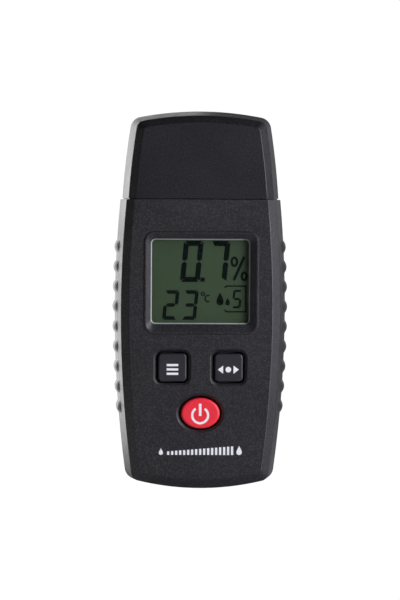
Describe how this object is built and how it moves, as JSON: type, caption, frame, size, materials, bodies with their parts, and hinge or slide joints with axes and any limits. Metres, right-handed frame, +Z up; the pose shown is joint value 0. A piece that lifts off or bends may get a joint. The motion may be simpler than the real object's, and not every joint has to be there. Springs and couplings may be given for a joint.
{
  "type": "moisture meter",
  "caption": "Upright hand-held pin moisture meter: recessed display, push keys, ribbed side grips, battery door at the back and a pull-off cap over its probe pins.",
  "frame": {"origin": "lowest point of the rounded lower end, midway across the width and the depth", "axes": "+Z up the length of the meter towards the cap and the probe pins, -Y out of the display and keys, +X to the right as seen from the front"},
  "size_m": [0.065, 0.028, 0.14],
  "materials": {
    "case_plastic": "fine spark-eroded texture, charcoal",
    "cap_plastic": "fine spark-eroded texture, near black",
    "grip_rubber": "matt soft rubber",
    "lens": "clear acrylic, polished",
    "gasket_foam": "light grey foam",
    "polariser": "grey-green film",
    "lcd_glass": "bonded glass plates",
    "lcd_reflector": "grey-green reflector film",
    "frame_plastic": "white moulding",
    "elastomer": "striped silicone",
    "mat_silicone": "translucent grey silicone",
    "key_black": "satin black silicone",
    "key_red": "satin red silicone",
    "carbon": "carbon-loaded silicone",
    "board": "green solder mask",
    "chip": "moulded epoxy",
    "tinned": "tinned can",
    "smd": "sintered ceramic",
    "bead": "glass bead",
    "screw_steel": "zinc-plated",
    "cell_wrap": "shrink film over a steel can",
    "spring_steel": "nickel-plated",
    "plate_steel": "nickel-plated",
    "door_plastic": "fine spark-eroded texture, charcoal",
    "foam": "open-cell foam",
    "block_plastic": "glass-filled nylon",
    "brass": "turned",
    "pin_steel": "ground and polished"
  },
  "bodies": {
    "case": {"front_shell": "case_plastic", "rear_shell": "case_plastic", "left_grip": "grip_rubber", "right_grip": "grip_rubber", "lens_gasket": "gasket_foam", "display_lens": "lens", "lcd_polariser": "polariser", "lcd_glass": "lcd_glass", "lcd_reflector": "lcd_reflector", "display_frame": "frame_plastic", "elastomer_strips": "elastomer", "keypad_mat": "mat_silicone", "main_board": "board", "controller_chip": "chip", "crystal": "tinned", "board_parts": "smd", "temperature_sensor": "bead", "board_screws": "screw_steel", "case_screws": "screw_steel", "positive_terminal": "plate_steel", "negative_terminal": "plate_steel", "upper_bridge": "plate_steel", "lower_bridge": "plate_steel", "pin_block": "block_plastic", "left_pin_socket": "brass", "right_pin_socket": "brass", "left_probe_pin": "pin_steel", "right_probe_pin": "pin_steel", "left_sensor_strap": "brass", "right_sensor_strap": "brass", "battery_cell_1": "cell_wrap", "battery_spring_1": "spring_steel", "battery_cell_2": "cell_wrap", "battery_spring_2": "spring_steel", "battery_cell_3": "cell_wrap", "battery_spring_3": "spring_steel", "mode_key_web": "mat_silicone", "set_key_web": "mat_silicone", "power_key_web": "mat_silicone"},
    "cap": {"protective_cap": "cap_plastic"},
    "door": {"battery_door": "door_plastic", "door_foam": "foam"},
    "mode": {"mode_key": "key_black", "mode_key_contact": "carbon"},
    "set": {"set_key": "key_black", "set_key_contact": "carbon"},
    "power": {"power_key": "key_red", "power_key_contact": "carbon"}
  },
  "joints": [
    {"name": "cap_slide", "type": "slide", "parent": "case", "child": "cap", "axis": [0, 0, 1], "range_m": [0, 0.045]},
    {"name": "door_hinge", "type": "hinge", "parent": "case", "child": "door", "pos_m": [0, 0.0131, 0.016], "axis": [-1, 0, 0], "range_deg": [0, 90]},
    {"name": "mode_press", "type": "slide", "parent": "case", "child": "mode", "axis": [0, 1, 0], "range_m": [0, 0.001], "stiffness_N_per_m": 1000, "springref_m": -0.0008, "deforming": ["mode_key_web"]},
    {"name": "set_press", "type": "slide", "parent": "case", "child": "set", "axis": [0, 1, 0], "range_m": [0, 0.001], "stiffness_N_per_m": 1000, "springref_m": -0.0008, "deforming": ["set_key_web"]},
    {"name": "power_press", "type": "slide", "parent": "case", "child": "power", "axis": [0, 1, 0], "range_m": [0, 0.001], "stiffness_N_per_m": 1000, "springref_m": -0.0008, "deforming": ["power_key_web"]}
  ]
}
